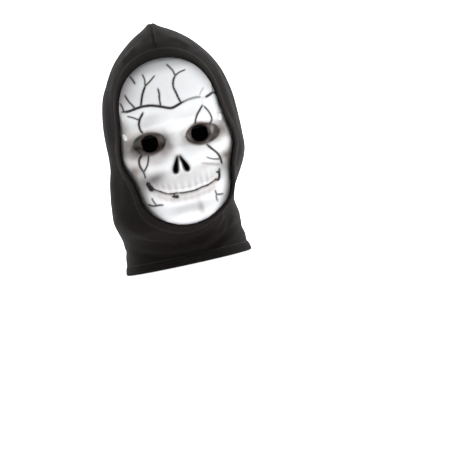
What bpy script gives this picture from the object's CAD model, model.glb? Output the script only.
import math
import bpy
import numpy as np
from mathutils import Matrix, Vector


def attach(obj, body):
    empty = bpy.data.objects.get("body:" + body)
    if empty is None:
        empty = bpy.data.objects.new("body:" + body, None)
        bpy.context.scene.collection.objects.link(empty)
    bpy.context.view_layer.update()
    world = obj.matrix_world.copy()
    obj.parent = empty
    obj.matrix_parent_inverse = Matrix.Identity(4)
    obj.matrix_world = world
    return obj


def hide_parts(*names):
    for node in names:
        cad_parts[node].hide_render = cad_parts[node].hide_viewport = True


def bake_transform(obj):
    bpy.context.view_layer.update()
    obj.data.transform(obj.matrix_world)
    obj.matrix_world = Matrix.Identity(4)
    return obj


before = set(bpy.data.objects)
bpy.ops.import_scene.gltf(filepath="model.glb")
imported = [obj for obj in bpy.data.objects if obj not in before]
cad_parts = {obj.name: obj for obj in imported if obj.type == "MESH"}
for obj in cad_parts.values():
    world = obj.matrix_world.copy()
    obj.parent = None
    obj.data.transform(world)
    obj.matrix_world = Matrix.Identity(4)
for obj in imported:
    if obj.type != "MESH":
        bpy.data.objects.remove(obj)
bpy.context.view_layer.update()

MM = 0.001
rng = np.random.default_rng(7)

# ---------------------------------------------------------------------------
# camera: level with the face, rolled so that the head leans to the left
# ---------------------------------------------------------------------------
ROLL = math.radians(12.3)
DIST = 4.6
ELEV = math.radians(2.0)
cam_data = bpy.data.cameras.new("camera")
cam = bpy.data.objects.new("camera", cam_data)
bpy.context.scene.collection.objects.link(cam)
bpy.context.scene.camera = cam
target = Vector((0.0385, -0.085, -0.1185))
back = Vector((0, -math.cos(ELEV), math.sin(ELEV)))
cam.location = target + back * DIST
up0 = Vector((0, math.sin(ELEV), math.cos(ELEV)))
right0 = Vector((1, 0, 0))
right = right0 * math.cos(ROLL) - up0 * math.sin(ROLL)
up = right0 * math.sin(ROLL) + up0 * math.cos(ROLL)
from mathutils import Matrix
m = Matrix((right, up, back)).transposed().to_4x4()
m.translation = cam.location
cam.matrix_world = m
cam_data.sensor_width = 36
cam_data.lens = 36 * DIST / 0.554
cam_data.clip_end = 60

# ---------------------------------------------------------------------------
# tables shared with the CAD
# ---------------------------------------------------------------------------
OUTLINE = [
    (0.0, 99.5), (12.0, 98.6), (24.0, 95.2), (33.5, 90.2), (42.5, 83.0),
    (50.0, 73.5), (55.8, 62.0), (59.2, 50.0), (61.0, 38.0), (62.6, 26.0),
    (65.2, 13.0), (68.2, 1.0), (69.8, -10.0), (69.2, -21.0), (65.4, -32.0),
    (61.2, -44.0), (58.6, -57.0), (56.4, -69.0), (52.2, -79.5), (44.0, -89.0),
    (32.5, -97.2), (20.0, -103.4), (9.5, -106.4), (0.0, -107.2),
]
MID_Y = [
    (-116, -70), (-110, -80), (-107, -85), (-103, -91.5), (-97, -97), (-90, -98.5),
    (-80, -97.5), (-70, -100), (-60, -101.5), (-48, -101.5), (-38, -101),
    (-26, -102.5), (-14, -101.5), (-4, -98.5), (6, -99), (16, -102.5),
    (24, -103.8), (38, -103), (52, -101), (66, -97), (80, -90.5),
    (90, -84), (99, -76), (108, -66),
]
WIDE = [
    (-116, 40), (-107, 46), (-100, 50), (-92, 54), (-80, 59), (-70, 61), (-57, 62.5),
    (-44, 65), (-32, 69), (-21, 73), (-8, 74.5), (4, 73.5), (14, 71.5),
    (28, 71), (40, 72), (54, 73), (68, 73), (80, 72), (92, 70), (108, 66),
]
WRAP = [
    (-116, 46), (-100, 58), (-85, 70), (-57, 82), (-20, 90), (10, 92), (40, 88),
    (70, 80), (90, 72), (108, 66),
]
HOOD_WIDE = [
    (-160, 79), (-156, 79), (-145, 77), (-134, 75.5), (-122, 75), (-108, 75), (-92, 75.5),
    (-76, 76.5), (-57, 80), (-41, 82.5), (-21, 84.2), (-5, 84.6), (14, 84.3), (29, 83.5),
    (48, 81.4), (66, 77), (84, 68.5), (102, 57), (115.6, 45.5), (126.7, 32.5),
    (135.6, 18), (140.5, 6), (142, 1),
]
HOOD_FRONT = [
    (-160, -70), (-156, -70), (-145, -66), (-134, -64), (-124, -68), (-114, -80), (-104, -92),
    (-90, -98), (-60, -100), (-20, -100), (20, -99), (60, -97), (84, -93), (96, -89.5),
    (104, -84), (115, -74), (126, -59), (134, -45), (139, -31), (142, -18),
]
HOOD_BACK = [
    (-160, 95), (-156, 94.5), (-145, 92), (-130, 90), (-110, 89), (-90, 91.5), (-70, 95.5), (-55, 99.5),
    (-40, 105), (-20, 112.5), (0, 117), (20, 118.5), (40, 117), (60, 113), (80, 106),
    (100, 94), (115, 80), (126, 66), (134, 52), (139, 38), (142, 24),
]
SHELL_T = 1.8
GAP = 2.6
EYE_X, EYE_R = 31.3, 10.6


def curve(table, z):
    """Smooth table lookup on arrays, the same curve as the CAD's."""
    z = np.asarray(z, float)
    t = np.array(table, float)
    zs, vs = t[:, 0], t[:, 1]
    d = np.diff(vs) / np.diff(zs)
    s = np.zeros(len(zs))
    s[0], s[-1] = d[0], d[-1]
    a, b = d[:-1], d[1:]
    ok = a * b > 0
    s[1:-1][ok] = 2 * a[ok] * b[ok] / (a[ok] + b[ok])
    i = np.clip(np.searchsorted(zs, z, side="left") - 1, 0, len(zs) - 2)
    h = zs[i + 1] - zs[i]
    u = np.clip((z - zs[i]) / h, 0, 1)
    out = (vs[i] * (1 + 2 * u) * (1 - u) ** 2 + vs[i + 1] * u * u * (3 - 2 * u)
           + h * s[i] * u * (1 - u) ** 2 + h * s[i + 1] * u * u * (u - 1))
    return np.where(z <= zs[0], vs[0], np.where(z >= zs[-1], vs[-1], out))


def smooth(v, a, b):
    u = np.clip((np.asarray(v, float) - a) / (b - a), 0, 1)
    return u * u * (3 - 2 * u)


def blob(x, z, cx, cz, rx, rz, turn=0.0, power=1.0):
    c, s = math.cos(math.radians(turn)), math.sin(math.radians(turn))
    dx, dz = x - cx, z - cz
    q = ((dx * c + dz * s) / rx) ** 2 + ((-dx * s + dz * c) / rz) ** 2
    return np.exp(-1.6 * q ** power)


def closed_spline(points, per=10):
    """Dense closed loop through points (Catmull-Rom)."""
    p = np.array(points, float)
    n = len(p)
    out = []
    for i in range(n):
        a, b, c, d = p[i - 1], p[i], p[(i + 1) % n], p[(i + 2) % n]
        for k in range(per):
            t = k / per
            out.append(0.5 * ((2 * b) + (c - a) * t + (2 * a - 5 * b + 4 * c - d) * t * t
                              + (3 * b - a - 3 * c + d) * t ** 3))
    return np.array(out)


def open_spline(points, per=8):
    p = np.array(points, float)
    if len(p) == 2:
        t = np.linspace(0, 1, per + 1)[:, None]
        return p[0] * (1 - t) + p[1] * t
    q = np.vstack([2 * p[0] - p[1], p, 2 * p[-1] - p[-2]])
    out = []
    for i in range(1, len(q) - 2):
        a, b, c, d = q[i - 1], q[i], q[i + 1], q[i + 2]
        for k in range(per):
            t = k / per
            out.append(0.5 * ((2 * b) + (c - a) * t + (2 * a - 5 * b + 4 * c - d) * t * t
                              + (3 * b - a - 3 * c + d) * t ** 3))
    out.append(p[-1])
    return np.array(out)


def line_distance(x, z, path):
    """Distance from points to a polyline, and how far along it the nearest place is (0 to 1)."""
    x, z = x.ravel(), z.ravel()
    best = np.full(x.shape, 1e9)
    where = np.zeros(x.shape)
    seg = np.hypot(*np.diff(path, axis=0).T)
    cum = np.concatenate([[0], np.cumsum(seg)])
    for i in range(len(path) - 1):
        ax, az = path[i]
        bx, bz = path[i + 1]
        L2 = (bx - ax) ** 2 + (bz - az) ** 2 + 1e-12
        t = np.clip(((x - ax) * (bx - ax) + (z - az) * (bz - az)) / L2, 0, 1)
        d = np.hypot(x - ax - t * (bx - ax), z - az - t * (bz - az))
        near = d < best
        best[near] = d[near]
        where[near] = (cum[i] + t[near] * seg[i]) / cum[-1]
    return best, where


def inside(x, z, loop):
    c = np.zeros(x.shape, bool)
    n = len(loop)
    for i in range(n):
        x0, z0 = loop[i]
        x1, z1 = loop[(i + 1) % n]
        if z0 == z1:
            continue
        hit = ((z0 > z) != (z1 > z)) & (x < (x1 - x0) * (z - z0) / (z1 - z0) + x0)
        c ^= hit
    return c


def signed(x, z, loop):
    """Distance to a closed loop, positive inside."""
    shape = x.shape
    d, _ = line_distance(x, z, np.vstack([loop, loop[:1]]))
    d = d.reshape(shape)
    return np.where(inside(x, z, loop), d, -d)


FULL = [(x, z) for x, z in OUTLINE] + [(-x, z) for x, z in reversed(OUTLINE[1:-1])]
OUT_LOOP = closed_spline(FULL, 6)


def nostril(side):
    z = -32.0
    return closed_spline([
        (side * 1.6, z + 9.5), (side * 5.2, z + 4.0), (side * 9.4, z - 4.5),
        (side * 8.6, z - 9.0), (side * 5.2, z - 8.6), (side * 3.0, z - 2.0)], 8)


NOSE = [nostril(1), nostril(-1)]

MOUTH = [(-41.5, -50.1), (-40.2, -53.1), (-36.2, -56.7), (-30.8, -59.9), (-25.9, -62.8), (-20.9, -64.8), (-15.7, -65.6), (-9.0, -66.1), (-5.1, -66.9), (0.3, -67.1), (6.4, -67.2), (12.7, -66.7), (19.8, -65.1), (26.8, -64.3), (32.7, -62.2), (38.8, -59.5)]

# painted crack strokes: half width in mm, strength (negative is a pale stroke), points (x, z)
STROKES = [
    (1.05, 1.00, [(-56.9, 45.1), (-48.9, 44.0), (-39.1, 45.3), (-30.8, 46.2), (-21.4, 45.5), (-13.7, 43.4), (-7.4, 41.1), (1.4, 37.6), (6.8, 37.3), (17.0, 40.6), (20.6, 41.4)]),
    (0.90, 0.62, [(20.6, 41.4), (24.2, 42.4), (29.8, 43.2), (36.7, 43.3), (41.3, 42.7)]),
    (0.90, -0.50, [(41.3, 42.7), (47.1, 41.1)]),
    (1.05, 1.00, [(47.8, 41.2), (52.2, 42.7), (57.4, 44.7), (62.4, 42.9)]),
    (0.75, 0.95, [(-37.8, 85.8), (-35.2, 80.8), (-33.3, 75.3)]),
    (0.75, 0.95, [(-56.5, 55.9), (-54.9, 50.8), (-54.1, 45.2)]),
    (0.70, 0.95, [(-48.6, 64.4), (-45.6, 56.2), (-42.1, 50.4), (-39.1, 45.3)]),
    (0.85, 1.00, [(-31.9, 47.1), (-30.0, 52.8), (-26.8, 61.0), (-21.5, 70.0)]),
    (0.60, 0.95, [(-21.5, 70.0), (-20.8, 78.1), (-22.1, 84.7)]),
    (0.60, 0.95, [(-21.5, 70.0), (-14.4, 74.6), (-7.7, 80.0)]),
    (0.75, 0.95, [(-7.2, 63.5), (-6.7, 58.0), (-7.6, 52.7), (-8.0, 47.4), (-8.3, 42.0)]),
    (0.80, 1.00, [(17.0, 40.6), (15.0, 47.1), (13.3, 55.0), (11.9, 60.7), (12.2, 65.4), (14.0, 70.5), (16.9, 74.6)]),
    (0.65, 0.95, [(16.9, 74.6), (15.1, 81.8), (9.5, 90.5)]),
    (0.60, 0.95, [(16.9, 74.6), (22.3, 77.5), (30.2, 79.2)]),
    (0.55, 0.35, [(47.6, 52.9), (44.2, 49.6), (41.2, 45.5)]),
    (0.60, 0.80, [(58.2, 54.7), (58.4, 49.2), (57.4, 44.7)]),
    (0.90, 1.00, [(-31.0, 38.8), (-33.8, 35.3), (-36.6, 31.8), (-39.1, 25.6), (-38.8, 18.7), (-36.5, 13.8)]),
    (0.60, 0.95, [(-50.8, 38.3), (-44.1, 35.1), (-37.5, 30.7)]),
    (0.60, -0.60, [(43.6, 40.9), (43.0, 36.2), (41.8, 32.4)]),
    (0.75, 0.95, [(41.8, 32.4), (37.3, 27.3), (33.7, 23.3), (30.4, 17.9), (27.6, 11.0)]),
    (0.70, 0.95, [(43.4, 30.7), (47.4, 23.7), (49.3, 17.2), (48.9, 11.8), (44.5, 7.4)]),
    (0.95, 1.00, [(-43.4, -11.6), (-47.7, -16.1), (-48.8, -19.3), (-48.9, -24.7), (-46.5, -32.0)]),
    (0.65, 0.95, [(-46.5, -32.0), (-45.7, -36.3), (-45.8, -40.3)]),
    (0.70, 0.95, [(-35.6, -13.3), (-37.1, -19.1), (-39.4, -24.7), (-42.4, -28.8), (-45.9, -32.6)]),
    (0.90, 1.00, [(36.8, -15.5), (41.0, -21.1), (46.9, -28.6), (49.5, -35.2), (49.9, -42.8)]),
    (0.60, 0.85, [(33.4, -30.8), (40.1, -34.6), (49.1, -36.8)]),
    (1.00, 0.30, [(26.1, -36.3), (36.2, -39.8), (46.3, -43.4)]),
    (0.60, 0.90, [(-43.0, -66.1), (-41.9, -70.4), (-39.5, -75.1)]),
    (0.80, 0.90, [(-49.2, -72.9), (-45.0, -75.2), (-41.1, -76.1), (-36.3, -76.1), (-31.1, -76.9)]),
    (0.70, 0.85, [(35.1, -72.9), (35.2, -75.7), (36.1, -77.9), (39.3, -78.8), (43.3, -79.2)]),
    (0.55, 0.80, [(35.6, -77.1), (34.5, -81.0), (35.0, -85.9)]),
    (1.90, 1.00, [(-44.4, -46.5), (-42.8, -51.5), (-41.0, -57.0)]),
    (1.00, 1.00, [(41.2, -51.5), (43.8, -52.1), (44.0, -55.2), (42.0, -60.2), (39.1, -60.9)]),
    (2.30, 1.00, [(-15.1, -68.1), (-15.1, -70.3)]),
]


# ---------------------------------------------------------------------------
# face shell relief
# ---------------------------------------------------------------------------
MOUTH_LINE = open_spline(MOUTH, 5)
MAIN_LINES = [(w, s, open_spline(p, 6)) for w, s, p in STROKES]


def base_y(x, z):
    ax = np.abs(x)
    w = curve(WIDE, z)
    q = np.minimum(ax / w, 0.992)
    y = curve(MID_Y, z) + curve(WRAP, z) * (1 - (1 - q ** 2.35) ** (1 / 2.35))

    def hill(cx, cz, rx, rz, amount):
        return -amount * np.exp(-1.6 * (((ax - cx) / rx) ** 2 + ((z - cz) / rz) ** 2))

    y = y + hill(30, 20, 20, 8, 3.0) + hill(34, -1, 20, 12, -9.5) + hill(54, -15, 14, 9, 3.5)
    y = y + hill(45, -42, 12, 14, -5.0) + hill(60, 32, 10, 16, -2.5) + hill(0, -32, 9, 12, -2.0)
    y = y + hill(26, -60, 20, 14, 2.5) + hill(0, -84, 26, 7, -2.0)
    return y


def relief(x, z):
    """Finer moulded form on top of the base, in mm outwards."""
    ax = np.abs(x)
    out = np.zeros(x.shape)
    # crisp brow edge over each socket and rim under it
    sock = ((ax - 33.5) / 21.5) ** 2 + ((z + 1.0) / 13.2) ** 2
    edge = np.exp(-((np.sqrt(sock) - 1.08) / 0.16) ** 2)
    out += edge * np.where(z > -1, 1.5, 1.0)
    out -= 1.2 * np.exp(-(sock / 0.8) ** 2)
    # thin raised rim round the see-through holes
    r = np.hypot(ax - EYE_X, z)
    out += 0.9 * np.exp(-((r - 12.0) / 1.1) ** 2)
    # nose bridge and the swollen edges of the nasal opening
    out += 2.6 * np.exp(-1.6 * ((ax / 6.5) ** 2 + ((z + 8) / 17) ** 2))
    nd = np.minimum(*[np.abs(signed(x, z, loop)) for loop in NOSE]).reshape(x.shape)
    near = np.exp(-((nd - 1.7) / 1.5) ** 2)
    out += 1.1 * near
    out += 0.8 * np.exp(-1.6 * ((ax / 2.4) ** 2 + ((z + 36) / 10) ** 2))
    # cheekbones, the hollows below them and the jaw muscle
    out += 2.2 * blob(ax, z, 56, -16, 13, 6.5, -18)
    out -= 2.4 * blob(ax, z, 48, -38, 12, 10, 25)
    out += 1.4 * blob(ax, z, 57, -58, 6, 16)
    # frontal bumps and a shallow dip between the brows
    out += 1.5 * blob(ax, z, 27, 46, 22, 17)
    out -= 0.9 * blob(ax, z, 0, 18, 8, 10)
    # tooth roots: soft upright ribs above and below the mouth line
    md, along = line_distance(x, z, MOUTH_LINE)
    md = md.reshape(x.shape)
    mz = np.interp(x.ravel(), MOUTH_LINE[:, 0], MOUTH_LINE[:, 1]).reshape(x.shape)
    above = z - mz
    ribs = 0.5 + 0.5 * np.cos(2 * np.pi * (x - 1.2) / (8.6 - 0.03 * ax))
    env = np.exp(-((above - 9) / 8.5) ** 2) * smooth(43 - ax, 0, 8) * smooth(above, 0.8, 3)
    env2 = np.exp(-((above + 8) / 7.0) ** 2) * smooth(40 - ax, 0, 8) * smooth(-above, 0.8, 3)
    out += 0.55 * ribs * env + 0.45 * ribs * env2
    # lips of the mouth swell and the line itself is cut in
    out += 0.9 * np.exp(-((md - 4.2) / 2.4) ** 2) * smooth(46 - ax, 0, 6)
    out -= 1.25 * np.exp(-(md / 1.15) ** 2)
    # corners of the mouth
    out -= 1.2 * blob(x, z, -40.5, -53, 3.2, 6.5, 30)
    out -= 0.9 * blob(x, z, 44.5, -52, 3.0, 5.5, -10)
    # the gap left by the missing tooth
    out -= 1.3 * blob(x, z, -12.4, -70.2, 3.4, 2.8, 0, 2)
    # chin: two soft pads and a cleft
    out += 1.3 * blob(ax, z, 13, -95, 12, 8)
    out -= 0.7 * blob(ax, z, 0, -96, 3.4, 9)
    # cracks are pressed in along their strokes
    for w, s, path in MAIN_LINES:
        d, al = line_distance(x, z, path)
        taper = np.clip(np.minimum(al, 1 - al) * 8 + 0.35, 0, 1)
        out -= (0.45 * np.exp(-(d / (w * 0.9)) ** 2) * taper * abs(s)).reshape(x.shape)
    # faint hand-finished unevenness
    out += 0.12 * np.sin(x / 5.1 + 1.3 * np.sin(z / 7.7)) * np.sin(z / 6.3 + 0.9 * np.sin(x / 8.1))
    return out


def shell_y(x, z):
    y0 = base_y(x, z)
    fade = smooth(signed(x, z, OUT_LOOP), 0, 5)
    return y0 - relief(x, z) * fade


def edge_value(x, z):
    """Positive inside the moulding, zero on its edge and on the edges of its openings."""
    f = signed(x, z, OUT_LOOP)
    for side in (1, -1):
        f = np.minimum(f, np.hypot(x - side * EYE_X, z) - EYE_R)
    for loop in NOSE:
        f = np.minimum(f, -signed(x, z, loop))
    return f


def clipped_grid(X, Z, F, snap):
    """Cuts a grid at F = 0. Returns corner positions in grid units, faces, and the edge of the cut."""
    nz, nx = X.shape
    F = np.where(np.abs(F) < snap, 0.0, F)
    verts, index = [], {}

    def corner(j, i):
        key = (j, i)
        if key not in index:
            index[key] = len(verts)
            verts.append((X[j, i], Z[j, i]))
        return index[key]

    def cut(a, b):
        key = (a, b) if a < b else (b, a)
        if key not in index:
            fa, fb = F[a], F[b]
            t = fa / (fa - fb)
            index[key] = len(verts)
            verts.append((X[a] + t * (X[b] - X[a]), Z[a] + t * (Z[b] - Z[a])))
        return index[key]

    faces = []
    inside_all = (F[:-1, :-1] >= 0) & (F[:-1, 1:] >= 0) & (F[1:, 1:] >= 0) & (F[1:, :-1] >= 0)
    any_in = (F[:-1, :-1] > 0) | (F[:-1, 1:] > 0) | (F[1:, 1:] > 0) | (F[1:, :-1] > 0)
    js, is_ = np.nonzero(any_in)
    for j, i in zip(js, is_):
        ring = [(j, i), (j, i + 1), (j + 1, i + 1), (j + 1, i)]
        if inside_all[j, i]:
            faces.append([corner(*c) for c in ring])
            continue
        poly = []
        for k in range(4):
            a, b = ring[k], ring[(k + 1) % 4]
            fa, fb = F[a], F[b]
            if fa >= 0:
                poly.append(corner(*a))
            if (fa > 0 and fb < 0) or (fa < 0 and fb > 0):
                poly.append(cut(a, b))
        clean = [v for k, v in enumerate(poly) if v != poly[k - 1]]
        if len(set(clean)) >= 3:
            faces.append(clean)
    return np.array(verts), faces


def boundary_edges(faces):
    seen = {}
    for f in faces:
        for k in range(len(f)):
            a, b = f[k], f[(k + 1) % len(f)]
            if (b, a) in seen:
                del seen[(b, a)]
            else:
                seen[(a, b)] = True
    return list(seen)


def new_mesh(name, verts, faces, material=None, smooth_all=True):
    me = bpy.data.meshes.new(name)
    me.from_pydata((np.asarray(verts, float) * MM).tolist(), [], faces)
    me.update()
    ob = bpy.data.objects.new(name, me)
    bpy.context.scene.collection.objects.link(ob)
    if smooth_all:
        me.polygons.foreach_set("use_smooth", np.ones(len(me.polygons), bool))
    if material is not None:
        me.materials.append(material)
    return ob


def snap_to_edge(X, Z, value, reach):
    """Moves grid corners that lie near the cut onto it, so the cut leaves no slivers."""
    F = value(X, Z)
    near = np.abs(F) < reach
    e = 0.05
    gx = (value(X[near] + e, Z[near]) - value(X[near] - e, Z[near])) / (2 * e)
    gz = (value(X[near], Z[near] + e) - value(X[near], Z[near] - e)) / (2 * e)
    L = gx ** 2 + gz ** 2 + 1e-9
    X, Z = X.copy(), Z.copy()
    X[near] -= F[near] * gx / L
    Z[near] -= F[near] * gz / L
    F = F.copy()
    F[near] = 0.0
    return X, Z, F


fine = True
NX, NZ = (190, 250) if fine else (120, 160)
s = np.linspace(-1, 1, NX)
gx = 73.0 * (0.5 * s + 0.5 * np.sin(s * np.pi / 2))
gz = np.linspace(-109, 101, NZ)
GX, GZ = np.meshgrid(gx, gz)
GX, GZ, GF = snap_to_edge(GX, GZ, edge_value, 0.34 if fine else 0.55)
sv, sf = clipped_grid(GX, GZ, GF, 1e-6)
sx, sz = sv[:, 0], sv[:, 1]
sy = shell_y(sx, sz)
e = 0.4
fx = (shell_y(sx + e, sz) - shell_y(sx - e, sz)) / (2 * e)
fz = (shell_y(sx, sz + e) - shell_y(sx, sz - e)) / (2 * e)
nl = np.sqrt(fx ** 2 + fz ** 2 + 1)
normal = np.stack([fx / nl, -1 / nl, fz / nl], 1)  # outwards, towards the viewer
outer = np.stack([sx, sy, sz], 1)
by = base_y(sx, sz)
bfx = (base_y(sx + 1, sz) - base_y(sx - 1, sz)) / 2
bfz = (base_y(sx, sz + 1) - base_y(sx, sz - 1)) / 2
bl = np.sqrt(bfx ** 2 + bfz ** 2 + 1)
bn = np.stack([bfx / bl, -1 / bl, bfz / bl], 1)
inner = np.stack([sx, by, sz], 1) - bn * SHELL_T
# the wall is never thinner than 1 mm
gap = np.einsum("ij,ij->i", outer - inner, bn)
inner -= bn * np.maximum(0, 1.0 - gap)[:, None]
n0 = len(outer)
# faces wind so that the outer side looks to -Y
shell_faces = [list(f) for f in sf]
edges = boundary_edges(sf)
faces = shell_faces + [[v + n0 for v in reversed(f)] for f in sf]
mid_o, mid_i = {}, {}
verts = list(map(tuple, outer)) + list(map(tuple, inner))
rim = []
for a, b in edges:
    rim.append([b, a, a + n0, b + n0])
faces += rim
shell = new_mesh("face_shell_skin", verts, faces)
me = shell.data
edge_set = {(min(a, b), max(a, b)) for a, b in edges} | {(min(a, b) + n0, max(a, b) + n0) for a, b in edges}
for ed in me.edges:
    a, b = sorted(ed.vertices)
    if (a, b) in edge_set:
        ed.use_edge_sharp = True

# ---------------------------------------------------------------------------
# paint, worked out per vertex: base colour, ink mask
# ---------------------------------------------------------------------------
WHITE = np.array([0.86, 0.87, 0.885])
INK = np.array([0.012, 0.009, 0.009])


def lin(r, g, b):
    c = np.array([r, g, b]) / 255.0
    return np.where(c <= 0.04045, c / 12.92, ((c + 0.055) / 1.055) ** 2.4)


def paint_face(x, z):
    col = np.tile(WHITE, (len(x), 1))
    ink = np.zeros(len(x))

    def wash(mask, colour, strength):
        nonlocal col
        k = np.clip(mask * strength, 0, 1)[:, None]
        col = col * (1 - k) + np.asarray(colour) * k

    edge = signed(x, z, OUT_LOOP)
    grey = lin(150, 148, 150)
    brown = lin(96, 78, 66)
    pink = lin(196, 182, 176)
    # airbrushed edge of the forehead, heavier at the upper left and the right
    rim_l = np.exp(-(np.maximum(edge, 0) / 12.5) ** 1.3)
    wash(rim_l * smooth(-x, 2, 40) * smooth(z, 28, 62), lin(104, 101, 104), 0.92)
    rim_r = np.exp(-(np.maximum(edge, 0) / 6.0) ** 1.3)
    wash(rim_r * smooth(x, 18, 48) * smooth(z, 20, 50), lin(112, 110, 114), 0.8)
    wash(np.exp(-(np.maximum(edge, 0) / 5.0) ** 1.2) * smooth(z, 70, 90), grey, 0.5)
    wash(np.exp(-(np.maximum(edge, 0) / 4.5) ** 1.2) * smooth(-z, -30, 30) , grey, 0.55)
    # temples, cheek hollows, jaw
    wash(smooth(-x, 26, 62) * smooth(30 - z, 0, 26), lin(186, 181, 177), 0.62)
    wash(smooth(x, 40, 66) * smooth(4 - z, 0, 26), lin(196, 192, 186), 0.5)
    wash(blob(x, z, -3, -50, 40, 10, 4), lin(206, 203, 202), 0.6)
    wash(blob(x, z, -57, 20, 9, 22), lin(168, 160, 156), 0.75)
    wash(blob(x, z, -33.5, -43.5, 17, 10, 15), lin(96, 88, 86), 0.86)
    wash(blob(x, z, -55, -29, 10, 8, 10), lin(110, 96, 88), 0.75)
    wash(blob(x, z, -50, -46, 7, 16, -10), lin(142, 134, 130), 0.6)
    wash(blob(x, z, -52, -64, 6, 16), lin(150, 146, 146), 0.6)
    wash(blob(x, z, 56.5, -33, 9, 6.5, -12), lin(122, 100, 84), 0.8)
    wash(blob(x, z, 52, -46, 8, 9), lin(172, 165, 160), 0.6)
    wash(blob(x, z, 33, -40, 15, 4.5, 5), lin(196, 188, 184), 0.6)
    wash(blob(x, z, 38, -58, 12, 7, 15), lin(205, 198, 196), 0.55)
    wash(blob(x, z, 60, 8, 6, 14), lin(176, 172, 170), 0.5)
    # beside the nose bridge and under the left eye
    wash(blob(x, z, -9.5, -2, 5.5, 15, 8), lin(120, 112, 108), 0.8)
    wash(blob(x, z, -16, -14, 9, 10, -25), lin(146, 138, 134), 0.7)
    wash(blob(x, z, -27, -24, 14, 8), lin(186, 182, 182), 0.65)
    wash(blob(x, z, 10.5, -2, 3.5, 8, 0), lin(186, 180, 176), 0.5)
    wash(blob(x, z, -24, 31, 13, 4.5), lin(206, 204, 204), 0.6)
    wash(blob(x, z, 2, -46, 14, 3.2), lin(212, 210, 210), 0.6)
    # band under the mouth and the tooth roots
    mz = np.interp(x, MOUTH_LINE[:, 0], MOUTH_LINE[:, 1])
    above = z - mz
    band = np.exp(-((above + 7.0) / 4.2) ** 2) * smooth(44 - np.abs(x), 0, 12)
    wash(band, lin(168, 156, 150), 0.60)
    up = np.exp(-((above - 8) / 6.5) ** 2) * smooth(42 - np.abs(x), 0, 12)
    ribs = 0.5 - 0.5 * np.cos(2 * np.pi * (x - 1.2) / (8.6 - 0.03 * np.abs(x)))
    wash(up * ribs, lin(176, 168, 166), 0.42)
    wash(band * ribs, lin(158, 148, 144), 0.18)
    wash(blob(x, z, 14, -89, 4.5, 12, 6), lin(172, 164, 160), 0.7)
    wash(blob(x, z, 0, -84, 24, 3.4), lin(206, 200, 198), 0.5)
    # sockets: a wide brown halo, then the dark almond
    wash(blob(x, z, -36, -0.5, 36, 23, 6, 1.0), lin(150, 138, 132), 0.62)
    wash(blob(x, z, 37, -1.5, 33, 19, 0, 1.0), lin(158, 146, 140), 0.55)
    halo_l = blob(x, z, -34.0, -0.5, 31, 19.0, 6, 1.6)
    wash(halo_l, lin(74, 63, 58), 0.95)
    wash(blob(x, z, -46, -1, 13, 11, 0, 1.2), lin(58, 46, 40), 0.85)
    halo_r = blob(x, z, 35, -1.5, 27, 14.5, 0, 1.7)
    wash(halo_r, lin(92, 80, 74), 0.90)
    wash(blob(x, z, 55, -2, 9, 10, 0, 1.2), lin(84, 66, 56), 0.85)

    def almond(cx, cz, rx, rz, up_, down):
        t = np.clip((x - cx) / rx, -1, 1)
        lid_t = cz + up_ * np.sqrt(1 - np.abs(t) ** 2.2)
        lid_b = cz - down * np.sqrt(1 - np.abs(t) ** 2.0)
        inner_ = np.minimum(lid_t - z, z - lid_b)
        return np.where(np.abs(x - cx) > rx, -np.hypot(np.abs(x - cx) - rx, z - cz), inner_)

    a = almond(-31.6, 0.5, 20.4, 0, 11.8, 12.6)
    wash(smooth(a, -1.5, 1.5), lin(18, 14, 12), 0.99)
    wash(np.exp(-((a - 0.2) / 1.6) ** 2), lin(22, 17, 16), 0.9)
    wash(blob(x, z, -17, 1.5, 3.2, 6.5, -12), lin(92, 84, 82), 0.55)
    b = almond(34.6, -1.2, 20.8, 0, 11.2, 12.2)
    wash(smooth(b, -1.2, 1.2), lin(58, 50, 46), 0.95)
    wash(np.exp(-((b - 0.2) / 1.5) ** 2), lin(24, 19, 18), 0.95)
    wash(blob(x, z, 46.5, 0.5, 3.0, 7.0, -18), lin(158, 156, 154), 0.8)
    wash(blob(x, z, 18.8, -3.5, 2.0, 5.5, 25), lin(176, 170, 168), 0.7)
    wash(blob(x, z, 51.5, -1, 2.6, 7.5, 0), lin(40, 34, 32), 0.7)
    # brown glaze round each hole, with a pale lower lid line
    for cx in (-EYE_X, EYE_X):
        r = np.hypot(x - cx, z)
        wash(np.exp(-((r - 12.2) / 2.0) ** 2), lin(58, 38, 32), 0.9)
        wash(np.exp(-((r - 14.6) / 0.8) ** 2) * smooth(-z, 2, 9) * 0.8, lin(120, 104, 98), 0.6)
    # nasal openings: dark lip with a soft brown bloom
    for k, loop in enumerate(NOSE):
        d = np.maximum(-signed(x, z, loop), 0)
        wash(np.exp(-(d / 2.3) ** 2), lin(58, 48, 46), 0.75)
        wash(np.exp(-(d / 1.15) ** 2), lin(16, 12, 12), 1.0)
    wash(blob(x, z, 0.4, -36, 1.5, 9, 0, 2), WHITE, 0.95)
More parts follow.
